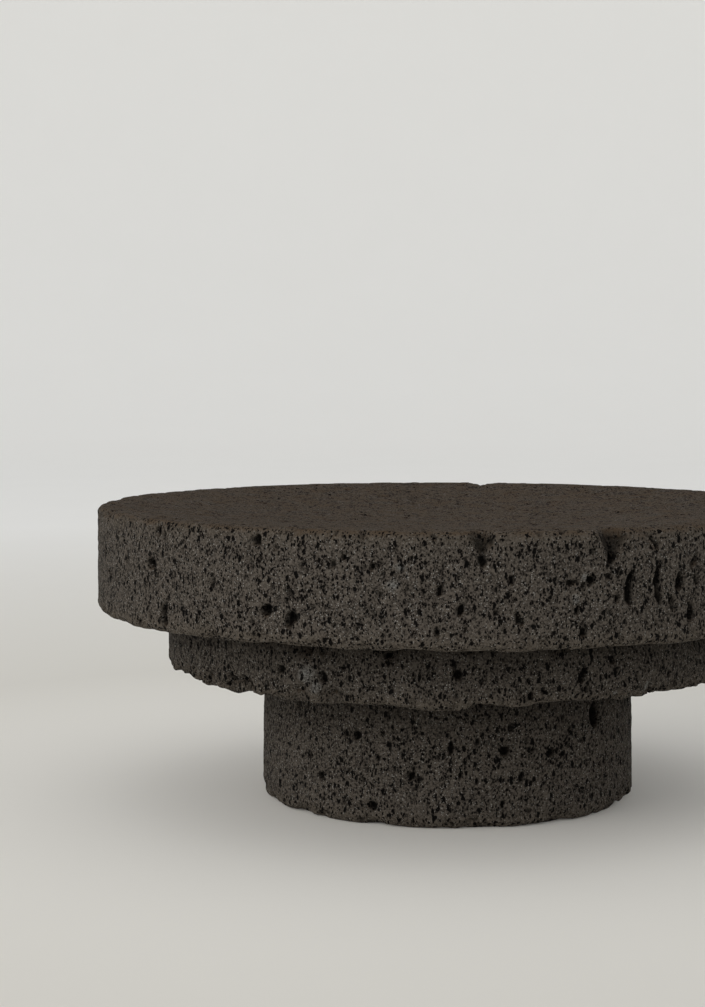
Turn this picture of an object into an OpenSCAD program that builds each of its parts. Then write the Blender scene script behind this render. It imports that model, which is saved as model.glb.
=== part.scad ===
// Stepped pedestal molcajete: three turned discs of vesicular lava stone stacked on one axis,
// bedded in stone-dust resin and centred by a steel pin.
// Units are millimetres. The origin is on the axis at the underside of the foot, +Z is up.

/* [Top disc] */
// Diameter of the top disc
top_d = 250; // [200:1:300]
// Thickness of the top disc
top_h = 36.5; // [30:0.5:45]
// Diameter of the dished hollow at the rim
dish_d = 226; // [160:1:230]
// Depth of the dished hollow at its centre
dish_depth = 6.5; // [5:0.5:9]
// Rounding of the top disc's upper edge
top_upper_edge = 2.5; // [1:0.5:4]
// Rounding of the top disc's lower edge
top_lower_edge = 4; // [1:0.5:6]

/* [Middle disc] */
// Diameter of the middle disc
middle_d = 201; // [160:1:220]
// Thickness of the middle disc
middle_h = 20; // [14:0.5:30]
// Rounding of the middle disc's upper edge
middle_upper_edge = 2; // [1:0.5:4]
// Rounding of the middle disc's lower edge
middle_lower_edge = 3; // [1:0.5:7]

/* [Foot] */
// Diameter of the foot at its top
foot_top_d = 132; // [100:1:150]
// Diameter of the foot at its base
foot_base_d = 133; // [100:1:150]
// Height of the foot
foot_h = 45.5; // [35:0.5:60]
// Rounding of the foot's upper edge
foot_upper_edge = 1.5; // [1:0.5:4]
// Rounding of the foot's lower edge
foot_lower_edge = 3; // [1:0.5:5]

/* [Bond and pin] */
// Thickness of each resin bed
bed_t = 1; // [0.6:0.1:2]
// Distance each bed is raked back from the stone's edge
bed_setback = 5; // [3:0.5:8]
// Diameter of the centring pin
pin_d = 10; // [6:0.5:14]
// Resin between the pin and the drilled stone, on each side
pin_resin_t = 1; // [0.5:0.1:2]
// Depth of the pin's socket in the top disc
top_socket_depth = 18; // [12:0.5:20]
// Depth of the pin's socket in the foot
foot_socket_depth = 24; // [15:0.5:30]

/* [Hidden] */
$fn = 128;

lower_bed_z = foot_h;
middle_z = lower_bed_z + bed_t;
upper_bed_z = middle_z + middle_h;
top_z = upper_bed_z + bed_t;
total_h = top_z + top_h;
mid_plane_z = middle_z + middle_h / 2;
socket_d = pin_d + 2 * pin_resin_t;
pin_low_z = foot_h - foot_socket_depth + pin_resin_t;
pin_high_z = top_z + top_socket_depth - pin_resin_t;
// Radius of the sphere whose cap is the dished hollow
dish_sphere_r = (pow(dish_d / 2, 2) + pow(dish_depth, 2)) / (2 * dish_depth);
// Length by which a cutting tool passes through a face
through = 1;

stone_dark = [0.22, 0.20, 0.18];
resin_grey = [0.30, 0.28, 0.26];
pin_steel = [0.62, 0.63, 0.64];

// Half outline of one turned disc with rounded edges, on the right of the axis
module disc_outline(r_low, r_high, h, edge_low, edge_high) {
    polygon([
        [0, 0],
        [r_low - edge_low, 0],
        [r_low, edge_low],
        [r_high, h - edge_high],
        [r_high - edge_high, h],
        [0, h]
    ]);
    translate([r_low - edge_low, edge_low]) circle(r = edge_low);
    translate([r_high - edge_high, h - edge_high]) circle(r = edge_high);
}

// One turned disc standing on z = 0
module turned_disc(d_low, d_high, h, edge_low, edge_high) {
    rotate_extrude() disc_outline(d_low / 2, d_high / 2, h, edge_low, edge_high);
}

// Drilled hole for the pin and its resin, between two heights
module pin_drilling(z_low, z_high) {
    translate([0, 0, z_low]) cylinder(d = socket_d, h = z_high - z_low);
}

// Cutter for the dished hollow: the lowest cap of a large sphere, open upwards
module dish_cutter() {
    rotate_extrude() intersection() {
        translate([0, total_h - dish_depth + dish_sphere_r])
            circle(r = dish_sphere_r, $fn = 2000);
        translate([0, total_h - 2 * dish_depth]) square([dish_d, 3 * dish_depth]);
    }
}

// Top disc: shallow dish on top, blind socket for the pin underneath
module top_disc() {
    color(stone_dark) difference() {
        translate([0, 0, top_z])
            turned_disc(top_d, top_d, top_h, top_lower_edge, top_upper_edge);
        dish_cutter();
        pin_drilling(top_z - through, top_z + top_socket_depth);
    }
}

// Middle disc: drilled right through for the pin
module middle_disc() {
    color(stone_dark) difference() {
        translate([0, 0, middle_z])
            turned_disc(middle_d, middle_d, middle_h, middle_lower_edge, middle_upper_edge);
        pin_drilling(middle_z - through, middle_z + middle_h + through);
    }
}

// Foot: slightly flared drum, blind socket for the pin in its top
module foot_drum() {
    color(stone_dark) difference() {
        turned_disc(foot_base_d, foot_top_d, foot_h, foot_lower_edge, foot_upper_edge);
        pin_drilling(foot_h - foot_socket_depth, foot_h + through);
    }
}

// Resin bed under the top disc, with the resin that fills the socket round the pin above it
// and the upper half of the middle disc's hole
module upper_bond_bed() {
    color(resin_grey) difference() {
        union() {
            translate([0, 0, upper_bed_z]) cylinder(d = middle_d - 2 * bed_setback, h = bed_t);
            pin_drilling(mid_plane_z, top_z + top_socket_depth);
        }
        translate([0, 0, mid_plane_z - through])
            cylinder(d = pin_d, h = pin_high_z - mid_plane_z + through);
    }
}

// Resin bed on the foot, with the resin that fills the socket round the pin below it
// and the lower half of the middle disc's hole
module lower_bond_bed() {
    color(resin_grey) difference() {
        union() {
            translate([0, 0, lower_bed_z]) cylinder(d = foot_top_d - 2 * bed_setback, h = bed_t);
            pin_drilling(foot_h - foot_socket_depth, mid_plane_z);
        }
        translate([0, 0, pin_low_z])
            cylinder(d = pin_d, h = mid_plane_z - pin_low_z + through);
    }
}

// Steel pin that centres the three stones
module centre_pin() {
    color(pin_steel) translate([0, 0, pin_low_z]) cylinder(d = pin_d, h = pin_high_z - pin_low_z);
}

top_disc();
upper_bond_bed();
middle_disc();
lower_bond_bed();
foot_drum();
centre_pin();
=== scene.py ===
import itertools
import math

import bpy
import numpy as np
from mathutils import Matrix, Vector


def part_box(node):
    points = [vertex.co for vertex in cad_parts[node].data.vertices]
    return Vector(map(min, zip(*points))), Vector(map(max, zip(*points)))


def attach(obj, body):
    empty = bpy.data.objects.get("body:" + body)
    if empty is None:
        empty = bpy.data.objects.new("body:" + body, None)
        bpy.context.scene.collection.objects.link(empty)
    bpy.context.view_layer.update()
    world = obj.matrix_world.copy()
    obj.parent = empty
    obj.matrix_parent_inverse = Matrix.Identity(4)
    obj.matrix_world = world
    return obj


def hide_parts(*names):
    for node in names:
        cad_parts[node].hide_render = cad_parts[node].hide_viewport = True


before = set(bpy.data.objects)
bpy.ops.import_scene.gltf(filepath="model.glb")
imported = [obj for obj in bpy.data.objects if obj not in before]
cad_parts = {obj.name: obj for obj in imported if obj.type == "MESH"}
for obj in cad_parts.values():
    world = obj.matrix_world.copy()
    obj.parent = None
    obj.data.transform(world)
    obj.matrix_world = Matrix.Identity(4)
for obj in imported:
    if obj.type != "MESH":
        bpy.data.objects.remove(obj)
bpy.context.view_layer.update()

# The stones are worked out in millimetres and turned into metres when their meshes are made.
MM = 0.001

# ---------------------------------------------------------------------------
# Random numbers, noise and bubbles in space
# ---------------------------------------------------------------------------

CELL_PRIMES = (73856093, 19349663, 83492791)
SEED_PRIME = 2654435761
MIX_A = np.uint64(0xFF51AFD7ED558CCD)
MIX_B = np.uint64(0xC4CEB9FE1A85EC53)
STEP_ODD = np.uint64(0x9E3779B97F4A7C15)
HALF_SHIFT = np.uint64(33)
TOP_SHIFT = np.uint64(11)
TWO_53 = float(2 ** 53)


def cell_random(cells, seed, count):
    """`count` random numbers from 0 to 1 for each whole-numbered cell of space. The cell's three
    coordinates are multiplied by large primes, joined with the seed, and mixed by shifts and
    odd multipliers, so a cell always gives the same numbers."""
    keys = cells.astype(np.int64).view(np.uint64)
    mixed = np.full(cells.shape[:-1], seed * SEED_PRIME, np.uint64)
    for axis, prime in enumerate(CELL_PRIMES):
        mixed = mixed ^ (keys[..., axis] * np.uint64(prime))
    numbers = []
    for _ in range(count):
        mixed = mixed + STEP_ODD
        bits = (mixed ^ (mixed >> HALF_SHIFT)) * MIX_A
        bits = (bits ^ (bits >> HALF_SHIFT)) * MIX_B
        bits = bits ^ (bits >> HALF_SHIFT)
        numbers.append((bits >> TOP_SHIFT).astype(float) / TWO_53)
    return np.stack(numbers, axis=-1)


def value_noise(points, size, seed):
    """Smooth random value from -1 to 1: random numbers at the corners of a cubic lattice of side
    `size`, blended across each cube by the curve 3t² - 2t³ along each axis."""
    scaled = points / size
    corner = np.floor(scaled).astype(np.int64)
    part = scaled - corner
    part = part * part * (3 - 2 * part)
    total = np.zeros(len(points))
    for offset in itertools.product((0, 1), repeat=3):
        weight = np.where(offset, part, 1 - part).prod(axis=-1)
        total += weight * cell_random(corner + np.array(offset), seed, 1)[..., 0]
    return 2 * total - 1


def rolling_noise(points, size, octaves, seed):
    """Sum of value noises, each half the size and half the strength of the one before."""
    total = np.zeros(len(points))
    for octave in range(octaves):
        total += value_noise(points, size / 2 ** octave, seed + octave) / 2 ** octave
    return total


def bubble_depth(points, inward, cell, smallest, largest, share, seed, stretch=(1, 1, 1)):
    """Depth to which gas bubbles are cut open by the surface. Space is divided into cubes of side
    `cell`, and a share of them holds one round bubble of random place and size. A point inside a
    bubble goes down to the bubble's far side: depth = t + sqrt(r² - s²), where t is how deep the
    centre lies and s how far it is to the side. `stretch` lengthens the bubbles along each axis."""
    squeezed = points / np.array(stretch)
    home = np.floor(squeezed / cell).astype(np.int64)
    deepest = np.zeros(len(points))
    for offset in itertools.product((-1, 0, 1), repeat=3):
        cells = home + np.array(offset)
        numbers = cell_random(cells, seed, 5)
        radius = smallest + (largest - smallest) * numbers[..., 3] ** 2
        radius = np.where(numbers[..., 4] < share, radius, 0)
        to_centre = (cells + numbers[..., :3]) * cell - squeezed
        sunk = (to_centre * inward).sum(axis=-1)
        sideways = (to_centre ** 2).sum(axis=-1) - sunk ** 2
        inside = sideways + sunk ** 2 < radius ** 2
        reach = sunk + np.sqrt(np.maximum(radius ** 2 - sideways, 0))
        deepest = np.maximum(deepest, np.where(inside, reach, 0))
    return deepest


def scoops(points, inward, centres, radii):
    """Depth cut by balls at given places: as for bubbles, for each ball in turn."""
    deepest = np.zeros(len(points))
    for centre, radius in zip(centres, radii):
        near = np.flatnonzero((np.abs(points - centre) < radius).all(axis=1))
        to_centre = centre - points[near]
        sunk = (to_centre * inward[near]).sum(axis=-1)
        sideways = (to_centre ** 2).sum(axis=-1) - sunk ** 2
        inside = sideways + sunk ** 2 < radius ** 2
        reach = sunk + np.sqrt(np.maximum(radius ** 2 - sideways, 0))
        deepest[near] = np.maximum(deepest[near], np.where(inside, reach, 0))
    return deepest


# ---------------------------------------------------------------------------
# The turned shape of a stone, as rings round the axis
# ---------------------------------------------------------------------------

def face_rings(outer, height_at, up, count, seen_to, aspect):
    """Rings on a flat or dished face, from its outer edge to the axis. The step between rings
    follows the spacing along the ring, and the number of points halves each time the spacing has
    become too fine. Inside `seen_to` the face is hidden, and the rings thin out quickly."""
    rings = []
    radius = outer
    spacing = 2 * math.pi * outer / count
    while radius > 2 * spacing:
        hidden = radius <= seen_to
        arc = 2 * math.pi * radius / count
        if (arc < 0.7 * spacing or hidden) and count % 2 == 0 and count > 12:
            count //= 2
            arc *= 2
        radius -= arc * aspect * (1 if not hidden else 1.5)
        if radius <= 0 or count <= 12:
            break
        rings.append((radius, height_at(radius), 0.0, up, 999.0, count, not hidden))
    return rings


def wall_rings(low_radius, high_radius, low_z, high_z, low_edge, high_edge, count, rise):
    """Rings up the wall of a stone: a quarter circle at the lower edge, the straight wall, and a
    quarter circle at the upper edge, with steps of about `rise`."""
    rings = []
    low_steps = max(3, round(low_edge * math.pi / 2 / rise))
    for i in range(low_steps):
        turn = math.pi / 2 * i / low_steps
        rings.append((low_radius - low_edge + low_edge * math.sin(turn),
                      low_z + low_edge - low_edge * math.cos(turn),
                      math.sin(turn), -math.cos(turn), 0.0, count, True))
    straight = high_z - high_edge - low_z - low_edge
    steps = round(straight / rise)
    for i in range(steps + 1):
        share = i / steps
        rings.append((low_radius + (high_radius - low_radius) * share,
                      low_z + low_edge + straight * share,
                      1.0, 0.0, straight * min(share, 1 - share), count, True))
    high_steps = max(3, round(high_edge * math.pi / 2 / rise))
    for i in range(1, high_steps + 1):
        turn = math.pi / 2 * i / high_steps
        rings.append((high_radius - high_edge + high_edge * math.cos(turn),
                      high_z - high_edge + high_edge * math.sin(turn),
                      math.cos(turn), math.sin(turn), 0.0, count, True))
    return rings


def ring_points(rings):
    """All points of the rings as arrays: place, outward direction, distance to the nearest edge,
    and whether the point can be seen. A ring of n points has them at equal angles."""
    places, outward, edge, seen = [], [], [], []
    for radius, z, out_r, out_z, edge_distance, count, visible in rings:
        angle = 2 * math.pi * np.arange(count) / count
        cos, sin = np.cos(angle), np.sin(angle)
        places.append(np.stack([radius * cos, radius * sin, np.full(count, z)], axis=1))
        outward.append(np.stack([out_r * cos, out_r * sin, np.full(count, out_z)], axis=1))
        edge.append(np.full(count, edge_distance))
        seen.append(np.full(count, float(visible)))
    return tuple(np.concatenate(part) for part in (places, outward, edge, seen))


def ring_faces(rings):
    """Faces between neighbouring rings. Equal rings are joined by squares; where the number of
    points halves or doubles, three triangles go to each point of the coarser ring. The first and
    last rings are closed to a middle point, which comes after all the ring points."""
    counts = [ring[5] for ring in rings]
    starts = np.concatenate([[0], np.cumsum(counts)])
    squares, triangles = [], []
    for i, (here, above) in enumerate(zip(counts, counts[1:])):
        a, b = starts[i], starts[i + 1]
        few = np.arange(min(here, above))
        after = (few + 1) % len(few)
        if here == above:
            squares.append(np.stack([a + few, a + after, b + after, b + few], axis=1))
            continue
        two, three = 2 * few + 1, (2 * few + 2) % (2 * len(few))
        if here > above:
            triangles += [np.stack([a + 2 * few, a + two, b + few], axis=1),
                          np.stack([a + two, b + after, b + few], axis=1),
                          np.stack([a + two, a + three, b + after], axis=1)]
        else:
            triangles += [np.stack([a + few, b + two, b + 2 * few], axis=1),
                          np.stack([a + few, a + after, b + two], axis=1),
                          np.stack([a + after, b + three, b + two], axis=1)]
    first, last = np.arange(counts[0]), np.arange(counts[-1])
    bottom, top = starts[-1], starts[-1] + 1
    triangles.append(np.stack([(first + 1) % counts[0], first,
                               np.full(counts[0], bottom)], axis=1))
    triangles.append(np.stack([starts[-2] + last, starts[-2] + (last + 1) % counts[-1],
                               np.full(counts[-1], top)], axis=1))
    return np.concatenate(squares), np.concatenate(triangles)


def mesh_object(name, places, squares, triangles, attributes):
    """A smooth-shaded object at the origin from points in metres, four- and three-sided faces and
    one number per point for each named attribute."""
    mesh = bpy.data.meshes.new(name)
    mesh.vertices.add(len(places))
    mesh.vertices.foreach_set("co", places.astype(np.float32).ravel())
    corners = np.concatenate([squares.ravel(), triangles.ravel()]).astype(np.int32)
    sizes = np.concatenate([np.full(len(squares), 4), np.full(len(triangles), 3)])
    mesh.loops.add(len(corners))
    mesh.loops.foreach_set("vertex_index", corners)
    mesh.polygons.add(len(sizes))
    starts = np.concatenate([[0], np.cumsum(sizes)[:-1]]).astype(np.int32)
    mesh.polygons.foreach_set("loop_start", starts)
    mesh.polygons.foreach_set("use_smooth", np.ones(len(sizes), bool))
    mesh.update(calc_edges=True)
    mesh.validate()
    for label, numbers in attributes.items():
        layer = mesh.attributes.new(label, "FLOAT", "POINT")
        layer.data.foreach_set("value", numbers.astype(np.float32))
    piece = bpy.data.objects.new(name, mesh)
    bpy.context.scene.collection.objects.link(piece)
    return piece


# ---------------------------------------------------------------------------
# Breaking a turned shape into lava stone
# ---------------------------------------------------------------------------

DEEPEST = 4.5


def pits_by_hand(places, inward, wall_radius, pits):
    """Single pits on a wall. Each is (angle in degrees, height, width, tall, deep, lean, bow), in
    mm: an oval hollow whose depth follows the square root of 1 - x² - y². `lean` moves its top
    sideways, and `bow` bends its middle sideways."""
    angle = np.arctan2(places[:, 1], places[:, 0])
    deepest = np.zeros(len(places))
    on_wall = np.hypot(inward[:, 0], inward[:, 1]) > 0.3
    for turn, height, width, tall, deep, lean, bow in pits:
        rise = (places[:, 2] - height) / (tall / 2)
        aside = (angle - math.radians(turn) + math.pi) % (2 * math.pi) - math.pi
        aside = aside * wall_radius - lean * rise - bow * (1 - rise ** 2)
        room = 1 - (aside / (width / 2)) ** 2 - rise ** 2
        deepest = np.maximum(deepest, np.where(on_wall, deep * np.sqrt(np.maximum(room, 0)), 0))
    return deepest


def edge_chips(places, outward, edge_z, up, chips):
    """Three-sided chips broken out of an edge, as (angle in degrees, width, drop, reach inwards),
    in mm. A chip is a valley between two planes that slope from the wall, `drop` away from the
    edge, to the face, `reach` inside it. What stands above the planes is pushed down to them: the
    height above them is s = n·(p - p0) - k |aside|, and the push is s divided by n·outward."""
    angle = np.arctan2(places[:, 1], places[:, 0])
    radius = np.hypot(places[:, 0], places[:, 1])
    out_r = np.hypot(outward[:, 0], outward[:, 1])
    out_z = up * outward[:, 2]
    rim = radius.max()
    deepest = np.zeros(len(places))
    for turn, width, drop, reach in chips:
        aside = (angle - math.radians(turn) + math.pi) % (2 * math.pi) - math.pi
        flat = math.hypot(drop, reach)
        n_r, n_z = drop / flat, reach / flat
        above = n_r * (radius - rim) + n_z * (up * (places[:, 2] - edge_z) + drop)
        above -= n_z * drop / (width / 2) * np.abs(aside) * rim
        facing = n_r * out_r + n_z * out_z
        push = np.where(facing > 0.1, above / np.maximum(facing, 0.1), 0)
        deepest = np.maximum(deepest, push)
    return deepest


def pale_spots(places, wall_radius, spots):
    """How far each point lies inside spots of pale mineral on a wall, from 0 outside to 1 at the
    middle. Each spot is (angle in degrees, height, width), in mm."""
    angle = np.arctan2(places[:, 1], places[:, 0])
    most = np.zeros(len(places))
    for turn, height, width in spots:
        aside = (angle - math.radians(turn) + math.pi) % (2 * math.pi) - math.pi
        away = np.hypot(aside * wall_radius, places[:, 2] - height)
        most = np.maximum(most, np.clip(1.2 - 2 * away / width, 0, 1))
    return most


def lava_stone(name, rings, seed, grain, pits=(), top_chips=(), base_chips=(), chip_edges=(), spots=()):
    """One stone. The turned shape's points are moved along its outward direction by the sum of:
    slow unevenness, fine roughness, cut bubbles in three sizes, wear and chips at the edges, and
    the single pits and chips. Hidden faces stay flat."""
    places, outward, edge, seen = ring_points(rings)
    inward = -outward
    wall_radius = np.hypot(places[:, 0], places[:, 1]).max()
    top_z, base_z = places[:, 2].max(), places[:, 2].min()

    uneven = grain["uneven"] * rolling_noise(places, 26, 3, seed)
    rough = grain["rough"] * rolling_noise(places, 2.8, 2, seed + 10)
    wander = np.stack([rolling_noise(places, 3.2, 2, seed + 20 + 5 * i) for i in range(3)], axis=1)
    bent = places + 0.55 * wander
    upright = (1, 1, 1.35)
    small = bubble_depth(bent, inward, 2.3, 0.4, 0.9, 0.5, seed + 41, upright)
    middle = bubble_depth(bent, inward, 4.4, 0.7, 1.55, grain["middle_share"], seed + 42, upright)
    large = bubble_depth(bent, inward, 9.0, 1.2, 2.5, grain["large_share"], seed + 43, upright)

    nearness = np.exp(-edge / 3.0)
    ragged = np.maximum(rolling_noise(places, 9, 3, seed + 60) + 0.15, 0) ** 1.5
    worn = grain["edge_wear"] * nearness * ragged

    dice = np.random.default_rng(seed)
    centres, radii = [], []
    for radius, z, how_many, smallest, largest in chip_edges:
        turn = dice.uniform(0, 2 * math.pi, how_many)
        size = smallest + (largest - smallest) * dice.uniform(0, 1, how_many) ** 2
        out = radius + size * dice.uniform(0.25, 0.6, how_many)
        centres += list(np.stack([out * np.cos(turn), out * np.sin(turn),
                                  z + dice.uniform(-0.6, 0.6, how_many)], axis=1))
        radii += list(size)
    chips = scoops(bent, inward, centres, radii)

    single = pits_by_hand(bent, inward, wall_radius, pits)
    rugged = places + 0.35 * wander
    broken = np.maximum(edge_chips(rugged, outward, top_z, 1.0, top_chips),
                        edge_chips(rugged, outward, base_z, -1.0, base_chips))

    cut = np.maximum.reduce([small, middle, large, single]) + 0.0
    hollow = np.maximum(np.minimum(cut + worn + chips, DEEPEST), broken + 0.5 * cut) * seen
    near_base = np.exp(-(places[:, 2] - base_z) / 6.0)
    lumps = grain["lumps"] * near_base * rolling_noise(places, 10, 2, seed + 70)
    swell = (uneven + rough + lumps) * seen
    no_room = (outward[:, 2] > 0.5) | ((outward[:, 2] < -0.3) & (base_z < 1))
    swell = np.where(no_room, np.minimum(swell, 0), swell)
    moved = places + outward * (swell - hollow)[:, None]
    middle_points = np.array([[0, 0, moved[0, 2]], [0, 0, moved[-1, 2]]])
    points = np.concatenate([moved, middle_points])
    ends = np.zeros(2)
    attributes = {
        # Painted shade inside bubbles and single pits
        "pit": np.concatenate([np.clip((cut * seen - 0.25) / 0.9, 0, 1), ends]),
        # Painted shade inside chips
        "hollow": np.concatenate([np.clip(broken * seen / 2.4, 0, 1), ends]),
        # Paler edges: partly wear, partly a painted highlight
        "edge": np.concatenate([np.exp(-edge / 1.5), ends]),
        "mineral": np.concatenate([pale_spots(bent, wall_radius, spots), ends]),
    }
    # Painted shade at the top of a stone, just under the overhang of the stone above
    overhang_shade = grain["shelter"] * np.exp((places[:, 2] - top_z) / grain["shelter_reach"])
    attributes["overhang_shade"] = np.concatenate([overhang_shade, ends])
    squares, triangles = ring_faces(rings)
    return mesh_object(name, points * MM, squares, triangles, attributes)


def disc_rings(node, low_edge, high_edge, count, rise, seen_below, seen_above,
               dish=(0.0, 1.0), top_narrowing=0.0, aspect=1.15):
    """All rings of one stone, from the middle of its underside over its wall to the middle of
    its top. `seen_below` and `seen_above` are the radii that the neighbouring stones hide.
    The dish sinks by its depth times 1 - (r / dish radius)²."""
    low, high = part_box(node)
    radius, low_z, high_z = high.x / MM, low.z / MM, high.z / MM
    high_radius = radius - top_narrowing
    dish_depth, dish_radius = dish

    def top_height(r):
        return high_z - dish_depth * max(0.0, 1 - (r / dish_radius) ** 2)

    below = face_rings(radius - low_edge, lambda r: low_z, -1.0, count // 2, seen_below, aspect)
    wall = wall_rings(radius, high_radius, low_z, high_z, low_edge, high_edge, count, rise)
    above = face_rings(high_radius - high_edge, top_height, 1.0, count // 2, seen_above, aspect)
    return below[::-1] + wall + above


# Radii, in mm, inside which a face is covered by the next stone
BED_SETBACK = 6.0
top_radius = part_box("top_disc")[1].x / MM
middle_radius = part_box("middle_disc")[1].x / MM
foot_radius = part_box("foot_drum")[1].x / MM
FOOT_NARROWING = 0.5
DISH_DEPTH = 6.5
DISH_RADIUS = 0.904 * top_radius

top_low, top_high = (corner.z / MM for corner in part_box("top_disc"))
middle_low, middle_high = (corner.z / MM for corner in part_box("middle_disc"))
foot_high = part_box("foot_drum")[1].z / MM

# Single pits that stand out: (angle, height, width, tall, deep, lean, bow)
TOP_PITS = (
    (-140, 90, 4.5, 4.0, 4.0, 0, 0), (-137, 73, 3.6, 7.0, 4.0, 0, 0), (-118, 100, 3.0, 4.2, 3.0, 0, 0),
    (-116.5, 78.5, 3.4, 4.2, 3.6, 0.2, 0), (-112.8, 76.5, 3.0, 5.2, 3.6, 0.4, 0.2),
    (-138, 101, 2.4, 4.5, 2.2, 0.3, 0), (-126, 86, 1.7, 5.0, 2.6, 0, 0.3),
    (-88, 80.5, 2.0, 4.2, 2.8, 0.5, -0.3), (-91, 86.5, 1.6, 3.4, 2.5, 0.3, 0),
    (-91.5, 73.5, 1.8, 3.0, 2.0, -0.3, 0), (-80, 77.5, 2.2, 4.4, 2.2, -0.8, 0),
    (-85.3, 95.6, 2.6, 3.4, 3.0, -0.3, 0), (-66.2, 95.4, 2.8, 4.6, 3.2, 0.3, 0), (-63, 85.5, 2.7, 11.5, 3.4, 0.6, -1.1),
    (-58.2, 86.6, 2.8, 13.0, 3.2, -0.2, -1.5), (-54.6, 87.0, 3.2, 5.4, 3.4, 0.4, 0),
    (-56.0, 80.3, 2.6, 4.6, 2.8, -0.8, 0), (-52.6, 77.0, 3.2, 6.0, 3.4, 0.3, 0),
    (-65.5, 83, 2.2, 2.8, 2.2, 0, 0), (-71.5, 80, 2.0, 3.2, 2.4, 0, 0), (-70.5, 73, 2.2, 3.2, 2.4, 0, 0),
    (-72.5, 88.2, 4.6, 1.6, 1.8, 0, 0), (-52, 93, 2.2, 4.5, 2.6, 1.0, 0), (-59, 99, 1.4, 3.6, 2.0, -0.8, 0),
)
MIDDLE_PITS = (
    (-88, 57, 3.4, 3.2, 2.6, 0, 0), (-64.5, 56, 2.8, 6.0, 2.6, 0.3, 0), (-113, 55, 2.2, 4.0, 2.4, 0, 0),
    (-122, 56, 2.6, 2.6, 2.2, 0.4, 0), (-150, 60, 2.4, 4.0, 2.0, 0, 0), (-58, 60, 3.0, 3.0, 2.2, 0, 0),
)
FOOT_PITS = (
    (-40.5, 35, 5.5, 9.5, 4.5, 0, 0), (-73, 26, 3.6, 3.6, 3.0, 0, 0), (-58, 24.5, 3.0, 3.2, 3.0, 0, 0),
    (-89, 27.5, 2.2, 4.6, 2.4, 0.3, 0), (-117, 30, 3.4, 3.0, 2.6, 0, 0), (-112, 6.5, 3.4, 3.2, 2.6, 0, 0),
    (-130, 15, 3.0, 3.0, 2.6, 0, 0), (-167, 31, 2.5, 4.0, 1.6, 0, 0), (-100, 18, 2.4, 3.4, 2.4, 0.3, 0),
)
# Chips out of an edge: (angle, width, drop, reach inwards)
TOP_CHIPS = (
    (83, 15, 3.8, 18), (-102, 7, 5.0, 4.0), (-85.2, 11, 11.0, 7.5), (-66, 15, 13.0, 9.0), (138, 10, 1.2, 10),
    (28, 11, 2.4, 9), (-20, 8, 4.0, 4), (171, 8, 2.6, 6), (-128, 6, 3.2, 2.0), (60, 7, 3.5, 3),
)
TOP_BASE_CHIPS = (
    (-133, 9, 3.5, 3.0), (-62, 8, 3.0, 3.0), (15, 10, 4.0, 5.0), (120, 9, 4.5, 4.0), (-170, 7, 3.0, 3.0),
)
MIDDLE_BASE_CHIPS = (
    (-131, 9, 2.6, 3.0), (-160, 11, 4.0, 4.0), (-144, 6, 2.0, 3.0), (-53, 9, 3.0, 4.0), (-45, 13, 4.5, 5.0),
    (-36, 9, 2.4, 4.0), (-28, 12, 3.5, 5.0), (20, 12, 4.0, 5.0), (95, 14, 4.5, 5.0), (150, 10, 4.0, 4.0),
)
FOOT_BASE_CHIPS = (
    (-158, 16, 5.0, 4.5), (-137, 10, 3.0, 3.0), (-112, 7, 2.6, 3.0), (-57, 8, 2.4, 3.0), (-20, 9, 3.5, 3.5), (75, 9, 3.5, 3.0), (165, 8, 3.0, 3.0),
)

# shelter and shelter_reach set the painted shade at the top of a stone under the stone above.
GRAIN_TOP = {"uneven": 0.24, "rough": 0.14, "middle_share": 0.26, "large_share": 0.05,
             "edge_wear": 1.5, "lumps": 0.5, "shelter": 0.0, "shelter_reach": 1.0}
GRAIN_MIDDLE = {"uneven": 0.40, "rough": 0.14, "middle_share": 0.26, "large_share": 0.06,
                "edge_wear": 2.6, "lumps": 1.5, "shelter": 0.85, "shelter_reach": 6.0}
GRAIN_FOOT = {"uneven": 0.24, "rough": 0.14, "middle_share": 0.26, "large_share": 0.06,
              "edge_wear": 2.0, "lumps": 0.5, "shelter": 0.85, "shelter_reach": 9.0}

top_stone = lava_stone(
    "top_stone",
    disc_rings("top_disc", 3.0, 2.5, 1152, 0.85, middle_radius - BED_SETBACK, 0.0,
               dish=(DISH_DEPTH, DISH_RADIUS), aspect=1.2),
    seed=11, grain=GRAIN_TOP, pits=TOP_PITS, top_chips=TOP_CHIPS, base_chips=TOP_BASE_CHIPS,
    spots=((-96.5, 93, 3.0), (-97.5, 88, 4.0), (-70.5, 90, 2.5), (-72.0, 83.5, 2.5)),
    chip_edges=((top_radius, top_low + 0.6, 46, 1.3, 3.4), (top_radius, top_high - 0.5, 40, 1.2, 3.0)))
middle_stone = lava_stone(
    "middle_stone",
    disc_rings("middle_disc", 2.0, 2.0, 1152, 0.62, foot_radius - BED_SETBACK,
               middle_radius - BED_SETBACK),
    seed=31, grain=GRAIN_MIDDLE, pits=MIDDLE_PITS, base_chips=MIDDLE_BASE_CHIPS,
    spots=((-116.5, 55.5, 6.5), (-114.5, 51.5, 4.0), (-49.5, 49.5, 5.0), (-57, 48.5, 2.4)),
    chip_edges=((middle_radius, middle_low + 1.5, 60, 2.0, 5.5),))
foot_stone = lava_stone(
    "foot_stone",
    disc_rings("foot_drum", 3.0, 1.5, 896, 0.6, 0.0, foot_radius - BED_SETBACK,
               top_narrowing=FOOT_NARROWING),
    seed=57, grain=GRAIN_FOOT, pits=FOOT_PITS, base_chips=FOOT_BASE_CHIPS,
    chip_edges=((foot_radius, 1.0, 34, 1.5, 4.0),))

for stone, node_name in ((top_stone, "top_disc"), (middle_stone, "middle_disc"),
                         (foot_stone, "foot_drum")):
    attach(stone, "root")
    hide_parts(node_name)


# ---------------------------------------------------------------------------
# Materials
# ---------------------------------------------------------------------------

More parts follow.
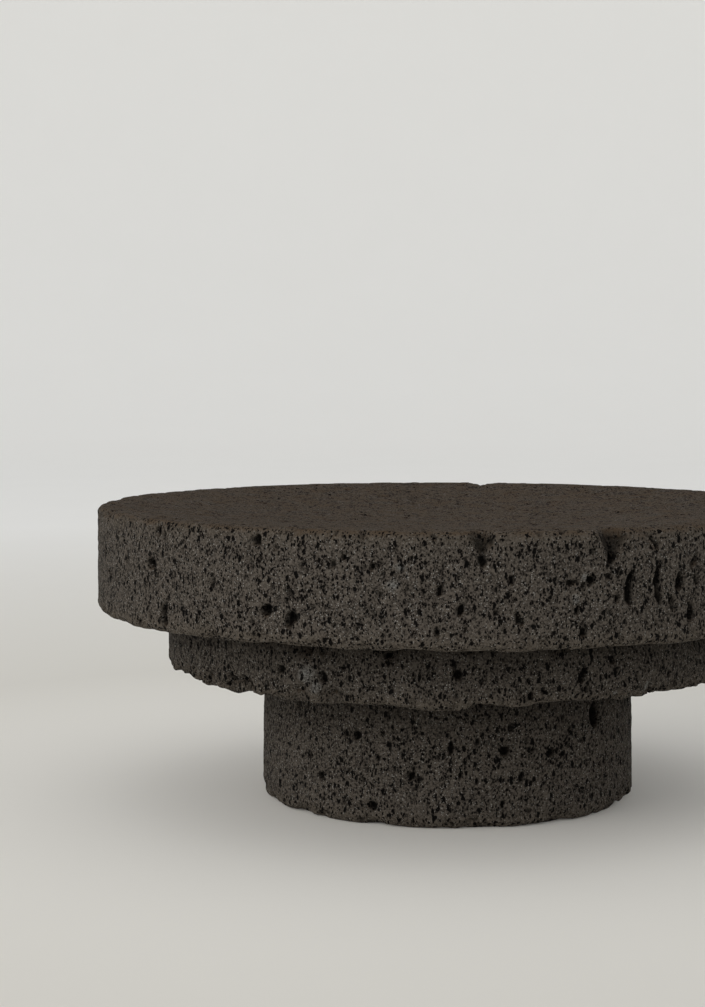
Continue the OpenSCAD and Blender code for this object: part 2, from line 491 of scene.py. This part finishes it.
def shader_node(tree, kind, sockets=None, **settings):
    """Adds a node. `sockets` gives each input, by name or number, a value or another node's
    output."""
    made = tree.nodes.new(kind)
    for label, value in settings.items():
        setattr(made, label, value)
    for label, value in (sockets or {}).items():
        if isinstance(value, bpy.types.NodeSocket):
            tree.links.new(value, made.inputs[label])
        else:
            made.inputs[label].default_value = value
    return made


def calc(tree, operation, first, second=0.0, third=0.0, clamp=False):
    """A Math node's result."""
    return shader_node(tree, "ShaderNodeMath", {0: first, 1: second, 2: third},
                       operation=operation, use_clamp=clamp).outputs[0]


def blend_colours(tree, share, under, over, how="MIX"):
    """A colour mix: `over` laid on `under` by `share`."""
    mix = shader_node(tree, "ShaderNodeMix", data_type="RGBA", blend_type=how)
    for index, value in ((0, share), (6, under), (7, over)):
        if isinstance(value, bpy.types.NodeSocket):
            tree.links.new(value, mix.inputs[index])
        else:
            mix.inputs[index].default_value = value
    return mix.outputs[2]


def new_group(name, inputs, outputs):
    """An empty shader node group with its input and output nodes. Inputs are (name, kind,
    default), outputs are (name, kind)."""
    group = bpy.data.node_groups.new(name, "ShaderNodeTree")
    for label, kind, default in inputs:
        socket = group.interface.new_socket(label, in_out="INPUT", socket_type="NodeSocket" + kind)
        if default is not None:
            socket.default_value = default
    for label, kind in outputs:
        group.interface.new_socket(label, in_out="OUTPUT", socket_type="NodeSocket" + kind)
    return group, group.nodes.new("NodeGroupInput"), group.nodes.new("NodeGroupOutput")


def open_pores_group():
    """Small gas pores: one ball to each Voronoi cell, of random size, cut by the surface. The mask
    is 1 inside a pore, and the depth rises from 0 at its edge to 1 at its middle."""
    group, given, result = new_group(
        "open_pores",
        (("Vector", "Vector", None), ("Pore Size", "Float", 1.2), ("Smallest", "Float", 0.2),
         ("Largest", "Float", 0.5), ("Share", "Float", 0.8), ("Softness", "Float", 0.1),
         ("Wander", "Float", 0.3)),
        (("Mask", "Float"), ("Depth", "Float"), ("Wall", "Float")))
    to_mm = shader_node(group, "ShaderNodeVectorMath",
                        {0: given.outputs["Vector"], "Scale": 1000.0}, operation="SCALE").outputs[0]
    noise = shader_node(group, "ShaderNodeTexNoise", {"Vector": to_mm, "Scale": 1.1, "Detail": 2.0})
    centred = shader_node(group, "ShaderNodeVectorMath",
                          {0: noise.outputs["Color"], 1: (0.5, 0.5, 0.5)},
                          operation="SUBTRACT").outputs[0]
    shift = shader_node(group, "ShaderNodeVectorMath",
                        {0: centred, "Scale": given.outputs["Wander"]}, operation="SCALE").outputs[0]
    bent = shader_node(group, "ShaderNodeVectorMath", {0: to_mm, 1: shift},
                       operation="ADD").outputs[0]
    per_cell = calc(group, "DIVIDE", 1.0, given.outputs["Pore Size"])
    cells = shader_node(group, "ShaderNodeTexVoronoi",
                        {"Vector": bent, "Scale": per_cell}, feature="F1")
    dice = shader_node(group, "ShaderNodeSeparateColor", {0: cells.outputs["Color"]})
    spread = calc(group, "SUBTRACT", given.outputs["Largest"], given.outputs["Smallest"])
    chance = calc(group, "MULTIPLY", dice.outputs[0], dice.outputs[0])
    radius = calc(group, "MULTIPLY_ADD", chance, spread, given.outputs["Smallest"])
    there = calc(group, "LESS_THAN", dice.outputs[1], given.outputs["Share"])
    radius = calc(group, "MULTIPLY", radius, there)
    inside = calc(group, "SUBTRACT", radius, cells.outputs["Distance"])
    mask = calc(group, "DIVIDE", inside, given.outputs["Softness"], clamp=True)
    depth = calc(group, "DIVIDE", inside, given.outputs["Largest"], clamp=True)
    # Painted light: this rises from 0 at a pore's rim to 1 a short way out, making the ridges between pores lighter and
    # the rims darker.
    wall = calc(group, "MULTIPLY", inside, -2.6, clamp=True)
    group.links.new(mask, result.inputs["Mask"])
    group.links.new(calc(group, "SQRT", depth), result.inputs["Depth"])
    group.links.new(wall, result.inputs["Wall"])
    return group


def crystal_group():
    """The solid part of the rock: a fine grain, slow mottling and sparse bright crystals."""
    group, given, result = new_group(
        "rock_grain",
        (("Vector", "Vector", None), ("Grain Size", "Float", 0.5), ("Mottle Size", "Float", 14.0),
         ("Crystal Size", "Float", 0.8), ("Crystal Share", "Float", 0.1)),
        (("Grain", "Float"), ("Mottle", "Float"), ("Crystals", "Float")))
    to_mm = shader_node(group, "ShaderNodeVectorMath",
                        {0: given.outputs["Vector"], "Scale": 1000.0}, operation="SCALE").outputs[0]
    grain = shader_node(group, "ShaderNodeTexNoise",
                        {"Vector": to_mm, "Detail": 3.0, "Roughness": 0.7,
                         "Scale": calc(group, "DIVIDE", 1.0, given.outputs["Grain Size"])})
    mottle = shader_node(group, "ShaderNodeTexNoise",
                         {"Vector": to_mm, "Detail": 3.0,
                          "Scale": calc(group, "DIVIDE", 1.0, given.outputs["Mottle Size"])})
    cells = shader_node(group, "ShaderNodeTexVoronoi",
                        {"Vector": to_mm,
                         "Scale": calc(group, "DIVIDE", 1.0, given.outputs["Crystal Size"])})
    dice = shader_node(group, "ShaderNodeSeparateColor", {0: cells.outputs["Color"]})
    there = calc(group, "LESS_THAN", dice.outputs[1], given.outputs["Crystal Share"])
    close = calc(group, "SUBTRACT", 0.42, cells.outputs["Distance"])
    close = calc(group, "MULTIPLY", close, 6.0, clamp=True)
    shine = calc(group, "MULTIPLY", calc(group, "MULTIPLY", close, there), dice.outputs[0])
    group.links.new(grain.outputs[0], result.inputs["Grain"])
    group.links.new(mottle.outputs[0], result.inputs["Mottle"])
    group.links.new(shine, result.inputs["Crystals"])
    return group


def dust_group():
    """Brown stone dust on faces that look up, in patches."""
    group, given, result = new_group(
        "settled_dust",
        (("Vector", "Vector", None), ("Patch Size", "Float", 9.0), ("Amount", "Float", 0.6)),
        (("Mask", "Float"),))
    to_mm = shader_node(group, "ShaderNodeVectorMath",
                        {0: given.outputs["Vector"], "Scale": 1000.0}, operation="SCALE").outputs[0]
    normal = shader_node(group, "ShaderNodeNewGeometry").outputs["Normal"]
    upward = shader_node(group, "ShaderNodeSeparateXYZ", {0: normal}).outputs[2]
    facing = calc(group, "MULTIPLY_ADD", upward, 1.6, -0.35, clamp=True)
    patches = shader_node(group, "ShaderNodeTexNoise",
                          {"Vector": to_mm, "Detail": 4.0,
                           "Scale": calc(group, "DIVIDE", 1.0, given.outputs["Patch Size"])})
    patchy = calc(group, "MULTIPLY_ADD", patches.outputs[0], 1.8, -0.25, clamp=True)
    both = calc(group, "MULTIPLY", facing, patchy)
    group.links.new(calc(group, "MULTIPLY", both, given.outputs["Amount"]), result.inputs["Mask"])
    return group


OPEN_PORES = open_pores_group()
ROCK_GRAIN = crystal_group()
SETTLED_DUST = dust_group()


def placed(tree, group, sockets):
    """Places a node group in a material with its own values."""
    return shader_node(tree, "ShaderNodeGroup", sockets, node_tree=group)


def rgba(red, green, blue):
    return (red, green, blue, 1.0)


def lava_material(name, tilt, pore_size, matrix_dark, matrix_light, dust_amount):
    """Vesicular basalt: fine and middling pores over a grained dark matrix, with painted shade in
    pores, pits and chips and under the overhangs, paler edges that are partly wear and partly a
    painted highlight, and brown dust on top."""
    material = bpy.data.materials.new(name)
    material.use_nodes = True
    tree = material.node_tree
    tree.nodes.clear()
    coords = shader_node(tree, "ShaderNodeTexCoord").outputs["Object"]
    leaned = shader_node(tree, "ShaderNodeMapping", {"Vector": coords, "Rotation": tilt,
                                                     "Scale": (1.0, 1.0, 0.64)}).outputs[0]
    fine = placed(tree, OPEN_PORES, {"Vector": leaned, "Pore Size": pore_size, "Smallest": 0.22,
                                     "Largest": 0.56, "Share": 0.8, "Softness": 0.1,
                                     "Wander": 0.7})
    mid = placed(tree, OPEN_PORES, {"Vector": leaned, "Pore Size": pore_size * 2.1,
                                    "Smallest": 0.2, "Largest": 0.52, "Share": 0.85,
                                    "Softness": 0.07, "Wander": 1.8})
    rock = placed(tree, ROCK_GRAIN, {"Vector": coords, "Grain Size": 0.75, "Mottle Size": 9.0,
                                     "Crystal Size": 0.5, "Crystal Share": 0.3})
    dust = placed(tree, SETTLED_DUST, {"Vector": coords, "Patch Size": 7.0,
                                       "Amount": dust_amount})
    pit = shader_node(tree, "ShaderNodeAttribute", attribute_name="pit").outputs["Fac"]
    hollow = shader_node(tree, "ShaderNodeAttribute", attribute_name="hollow").outputs["Fac"]
    edge = shader_node(tree, "ShaderNodeAttribute", attribute_name="edge").outputs["Fac"]
    overhang_shade = shader_node(tree, "ShaderNodeAttribute",
                            attribute_name="overhang_shade").outputs["Fac"]

    lightness = calc(tree, "MULTIPLY_ADD", rock.outputs["Grain"], 4.6, -1.9)
    # Painted light: the stone is lighter on the ridges between pores and darker at their rims.
    walls = calc(tree, "ADD", fine.outputs["Wall"], mid.outputs["Wall"])
    lightness = calc(tree, "MULTIPLY_ADD", walls, 0.12, lightness)
    lightness = calc(tree, "MULTIPLY_ADD", rock.outputs["Mottle"], 0.5, lightness)
    lightness = calc(tree, "SUBTRACT", lightness, 0.2, clamp=True)
    matrix = blend_colours(tree, lightness, matrix_dark, matrix_light)
    matrix = blend_colours(tree, rock.outputs["Crystals"], matrix, rgba(0.29, 0.28, 0.26))
    mineral = shader_node(tree, "ShaderNodeAttribute", attribute_name="mineral").outputs["Fac"]
    speckled = calc(tree, "MULTIPLY_ADD", rock.outputs["Grain"], 3.0, -1.1, clamp=True)
    matrix = blend_colours(tree, calc(tree, "MULTIPLY", mineral, speckled), matrix,
                           rgba(0.24, 0.245, 0.235))
    # Paler edges: partly wear, partly a painted highlight along the arrises.
    worn = calc(tree, "MULTIPLY", edge, calc(tree, "MULTIPLY", rock.outputs["Grain"], 0.6))
    matrix = blend_colours(tree, worn, matrix, rgba(0.105, 0.087, 0.067))
    matrix = blend_colours(tree, dust.outputs["Mask"], matrix, rgba(0.077, 0.053, 0.033))
    # Painted shade: pores and pits are darkened nearly to black, where shade falls inside them.
    open_share = calc(tree, "MAXIMUM", fine.outputs["Mask"], mid.outputs["Mask"])
    pore_shade_share = calc(tree, "MAXIMUM", calc(tree, "MULTIPLY", open_share, 0.98),
                      calc(tree, "MULTIPLY", pit, 0.92))
    # Painted shade: chips, and the top of a stone under an overhang, are darkened towards near black.
    painted_shade = calc(tree, "MAXIMUM", calc(tree, "MULTIPLY", hollow, 0.75), overhang_shade)
    shaded = blend_colours(tree, painted_shade, matrix,
                           rgba(0.009, 0.0078, 0.0062))
    colour = blend_colours(tree, pore_shade_share, shaded, rgba(0.0022, 0.0019, 0.0016))

    dents = calc(tree, "MAXIMUM", calc(tree, "MULTIPLY", fine.outputs["Depth"], 0.7),
                 mid.outputs["Depth"])
    height = calc(tree, "MULTIPLY_ADD", rock.outputs["Grain"], 0.8,
                  calc(tree, "MULTIPLY", dents, -1.0))
    bump = shader_node(tree, "ShaderNodeBump", {"Strength": 0.9, "Distance": 0.0007,
                                                "Height": height})
    rough = calc(tree, "MULTIPLY_ADD", rock.outputs["Crystals"], -0.45, 0.92)
    surface = shader_node(tree, "ShaderNodeBsdfPrincipled",
                          {"Base Color": colour, "Roughness": rough,
                           "Specular IOR Level": 0.06, "Normal": bump.outputs[0]})
    shader_node(tree, "ShaderNodeOutputMaterial", {"Surface": surface.outputs[0]})
    return material


def resin_material():
    """Stone dust in resin: dull, dark and gritty."""
    material = bpy.data.materials.new("stone_dust_resin")
    material.use_nodes = True
    tree = material.node_tree
    tree.nodes.clear()
    coords = shader_node(tree, "ShaderNodeTexCoord").outputs["Object"]
    rock = placed(tree, ROCK_GRAIN, {"Vector": coords, "Grain Size": 0.4, "Mottle Size": 10.0,
                                      "Crystal Size": 0.6, "Crystal Share": 0.1})
    colour = blend_colours(tree, rock.outputs["Grain"], rgba(0.02, 0.018, 0.016),
                           rgba(0.055, 0.05, 0.045))
    bump = shader_node(tree, "ShaderNodeBump", {"Strength": 0.5, "Distance": 0.0003,
                                                "Height": rock.outputs["Grain"]})
    surface = shader_node(tree, "ShaderNodeBsdfPrincipled",
                          {"Base Color": colour, "Roughness": 0.8, "Normal": bump.outputs[0]})
    shader_node(tree, "ShaderNodeOutputMaterial", {"Surface": surface.outputs[0]})
    return material


def pin_material():
    """Drawn steel bar with fine lines along its length."""
    material = bpy.data.materials.new("drawn_steel")
    material.use_nodes = True
    tree = material.node_tree
    tree.nodes.clear()
    coords = shader_node(tree, "ShaderNodeTexCoord").outputs["Object"]
    along = shader_node(tree, "ShaderNodeMapping", {"Vector": coords,
                                                    "Scale": (1.0, 1.0, 0.04)}).outputs[0]
    lines = shader_node(tree, "ShaderNodeTexNoise", {"Vector": along, "Scale": 2500.0,
                                                     "Detail": 2.0}).outputs[0]
    colour = blend_colours(tree, lines, rgba(0.42, 0.43, 0.44), rgba(0.6, 0.6, 0.61))
    rough = calc(tree, "MULTIPLY_ADD", lines, 0.25, 0.25)
    surface = shader_node(tree, "ShaderNodeBsdfPrincipled",
                          {"Base Color": colour, "Roughness": rough, "Metallic": 1.0})
    shader_node(tree, "ShaderNodeOutputMaterial", {"Surface": surface.outputs[0]})
    return material


MATRIX_DARK = rgba(0.0183, 0.0155, 0.0130)
MATRIX_LIGHT = rgba(0.101, 0.0865, 0.0720)
# The middle and foot stones get slightly darker copies of the top stone's lightest colour: painted shade for the stones
# under the overhangs.
MIDDLE_LIGHT = rgba(0.093, 0.080, 0.0670)
FOOT_LIGHT = rgba(0.097, 0.083, 0.0690)
TILT = (math.radians(10), math.radians(7), 0.0)

top_stone.data.materials.append(
    lava_material("lava_stone_top", TILT, 0.7, MATRIX_DARK, MATRIX_LIGHT, 0.95))
middle_stone.data.materials.append(
    lava_material("lava_stone_middle", TILT, 0.74, MATRIX_DARK, MIDDLE_LIGHT, 0.5))
foot_stone.data.materials.append(
    lava_material("lava_stone_foot", TILT, 0.78, MATRIX_DARK, FOOT_LIGHT, 0.4))

resin = resin_material()
for node_name, finish in (("upper_bond_bed", resin), ("lower_bond_bed", resin),
                          ("centre_pin", pin_material())):
    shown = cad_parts[node_name]
    shown.data.materials.clear()
    shown.data.materials.append(finish)


# ---------------------------------------------------------------------------
# Floor, light and camera
# ---------------------------------------------------------------------------

def cove(flat_radius, bend_radius, wall_height):
    """A round studio cove: a flat floor, a quarter circle all round it, and a wall, as one
    profile turned about the vertical axis. Its faces look inwards and up."""
    turns = 128
    bend = [(flat_radius + bend_radius * math.sin(t), bend_radius * (1 - math.cos(t)))
            for t in np.linspace(0, math.pi / 2, 24)]
    profile = np.array([(0.02, 0.0), (0.5, 0.0), (1.2, 0.0)] + bend
                       + [(flat_radius + bend_radius, wall_height)])
    angle = 2 * math.pi * np.arange(turns) / turns
    places = np.stack([profile[:, 0, None] * np.cos(angle), profile[:, 0, None] * np.sin(angle),
                       np.repeat(profile[:, 1, None], turns, axis=1)], axis=-1).reshape(-1, 3)
    row, column = np.meshgrid(np.arange(len(profile) - 1), np.arange(turns), indexing="ij")
    after = (column + 1) % turns
    squares = np.stack([row * turns + column, (row + 1) * turns + column,
                        (row + 1) * turns + after, row * turns + after], axis=-1).reshape(-1, 4)
    hub = np.arange(turns)
    triangles = np.stack([hub, (hub + 1) % turns, np.full(turns, len(places))], axis=1)
    places = np.concatenate([places, [[0, 0, 0]]])
    return mesh_object("studio_cove", places, squares, triangles, {})


def paper_material():
    """Matt pale paper, slightly warmer low down near the floor, with a faint mottle. Painted light makes it paler up
    the wall and further out, paler again close round the stones, and glow faintly.
    """
    material = bpy.data.materials.new("pale_paper")
    material.use_nodes = True
    tree = material.node_tree
    tree.nodes.clear()
    coords = shader_node(tree, "ShaderNodeTexCoord").outputs["Object"]
    height = shader_node(tree, "ShaderNodeSeparateXYZ", {0: coords}).outputs[2]
    away = shader_node(tree, "ShaderNodeVectorMath", {0: coords}, operation="LENGTH").outputs[1]
    # Painted light: paler up the wall and further from the middle.
    rise = calc(tree, "MAXIMUM", calc(tree, "MULTIPLY", height, 1.5),
                calc(tree, "MULTIPLY_ADD", away, 1.1, -0.32))
    rise = calc(tree, "MINIMUM", rise, 1.0)
    rise = calc(tree, "MAXIMUM", rise, 0.0)
    mottle = shader_node(tree, "ShaderNodeTexNoise", {"Vector": coords, "Scale": 9.0,
                                                      "Detail": 4.0}).outputs[0]
    # Painted light: paler close round the stones, where their shadow falls.
    under = calc(tree, "MULTIPLY_ADD", away, -4.0, 1.25)
    under = calc(tree, "MINIMUM", calc(tree, "MAXIMUM", under, 0.0), 1.0)
    paper = blend_colours(tree, rise, rgba(0.765, 0.74, 0.68), rgba(0.895, 0.887, 0.86))
    paper = blend_colours(tree, under, paper, rgba(0.95, 0.925, 0.87))
    paper = blend_colours(tree, calc(tree, "MULTIPLY", mottle, 0.06), paper,
                          rgba(0.62, 0.60, 0.56))
    # Painted light: the paper glows, most where it is painted paler, as though lit from behind.
    painted_glow_share = calc(tree, "MAXIMUM", rise, calc(tree, "MULTIPLY", under, 0.5))
    glow = blend_colours(tree, painted_glow_share, rgba(0.0, 0.0, 0.0), paper)
    surface = shader_node(tree, "ShaderNodeBsdfPrincipled",
                          {"Base Color": paper, "Roughness": 0.85, "Specular IOR Level": 0.2,
                           "Emission Color": glow, "Emission Strength": 0.08})
    shader_node(tree, "ShaderNodeOutputMaterial", {"Surface": surface.outputs[0]})
    return material


floor = cove(flat_radius=2.4, bend_radius=0.9, wall_height=0.2)
floor.data.materials.append(paper_material())


def soft_box(name, place, aim, width, height, power, colour):
    """A rectangular area light at `place`, turned to look at `aim`."""
    lamp = bpy.data.lights.new(name, "AREA")
    lamp.shape = "RECTANGLE"
    lamp.size, lamp.size_y = width, height
    lamp.energy, lamp.color = power, colour
    holder = bpy.data.objects.new(name, lamp)
    holder.location = place
    away = Vector(place) - Vector(aim)
    holder.rotation_euler = away.to_track_quat("Z", "Y").to_euler()
    bpy.context.scene.collection.objects.link(holder)


STONE_CENTRE = (0.0, 0.0, 0.06)
soft_box("window_left", (-1.6, -1.1, 0.75), STONE_CENTRE, 1.6, 1.3, 14.0, (1.0, 0.985, 0.96))
soft_box("ceiling_fill", (0.2, 0.2, 2.3), STONE_CENTRE, 2.6, 2.6, 1.0, (0.98, 0.99, 1.0))
soft_box("front_fill", (-0.7, -2.2, 0.6), STONE_CENTRE, 2.0, 0.9, 3.5, (1.0, 0.99, 0.97))

world = bpy.data.worlds.new("room")
world.use_nodes = True
world.node_tree.nodes["Background"].inputs["Color"].default_value = rgba(0.95, 0.96, 0.97)
world.node_tree.nodes["Background"].inputs["Strength"].default_value = 0.66
bpy.context.scene.world = world
bpy.context.scene.view_settings.view_transform = "Standard"

# The camera stands low, three disc diameters in front of the axis
CAMERA_DISTANCE = 6.0 * top_radius * MM
CAMERA_HEIGHT = 0.1568
CAMERA_DROP = math.radians(4.05)
CAMERA_TURN = math.radians(2.61)
camera_data = bpy.data.cameras.new("camera")
camera_data.sensor_width = 36.0
camera_data.lens = 74.7
camera_data.clip_start = 0.05
camera_data.clip_end = 50.0
camera = bpy.data.objects.new("camera", camera_data)
camera.location = (0.0, -CAMERA_DISTANCE, CAMERA_HEIGHT)
camera.rotation_euler = (math.pi / 2 - CAMERA_DROP, 0.0, CAMERA_TURN)
bpy.context.scene.collection.objects.link(camera)
bpy.context.scene.camera = camera
